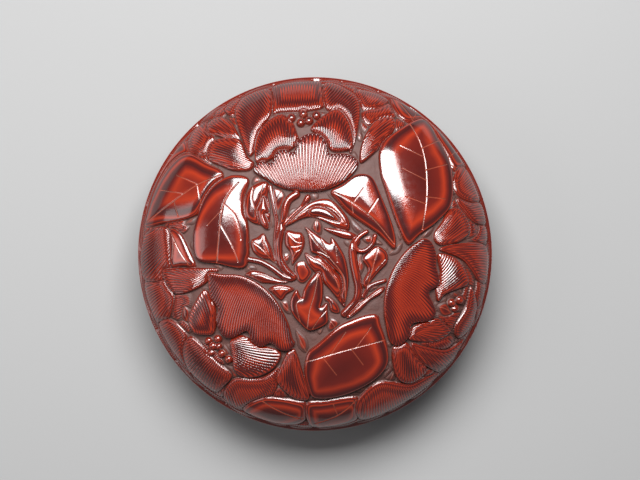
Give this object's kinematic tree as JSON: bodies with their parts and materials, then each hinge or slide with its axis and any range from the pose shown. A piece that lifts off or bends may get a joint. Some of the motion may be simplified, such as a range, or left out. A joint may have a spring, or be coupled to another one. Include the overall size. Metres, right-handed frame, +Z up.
{
  "type": "carved lacquer round box",
  "caption": "Low round cushion-shaped box with lift-off lid, locating flange and foot ring; thick carved lacquer coat with peony and leaf relief over a wooden body.",
  "frame": {"origin": "centre of the foot ring's standing face", "axes": "+Z up through the crown of the lid; +Y towards the top of the picture seen from above, where one blossom sits; +X to the right of it"},
  "size_m": [0.15, 0.15, 0.058],
  "materials": {
    "carved_red_lacquer": "polished carved lacquer",
    "black_lacquer": "gloss black lacquer",
    "wood_core": "bare, hidden"
  },
  "bodies": {
    "base": {"base_carved_lacquer": "carved_red_lacquer", "base_core_disc": "wood_core", "base_core_hoop_lower": "wood_core", "base_core_hoop_middle": "wood_core", "base_core_hoop_rim": "wood_core", "base_lining": "black_lacquer", "base_locating_flange": "black_lacquer", "base_foot_ring": "black_lacquer", "base_bottom_lacquer": "black_lacquer"},
    "lid": {"lid_carved_lacquer": "carved_red_lacquer", "lid_core_disc": "wood_core", "lid_core_hoop_upper": "wood_core", "lid_core_hoop_middle": "wood_core", "lid_core_hoop_rim": "wood_core", "lid_lining": "black_lacquer"}
  },
  "joints": [
    {"name": "lid_lift", "type": "slide", "parent": "base", "child": "lid", "axis": [0, 0, 1], "range_m": [0, 0.08]}
  ]
}
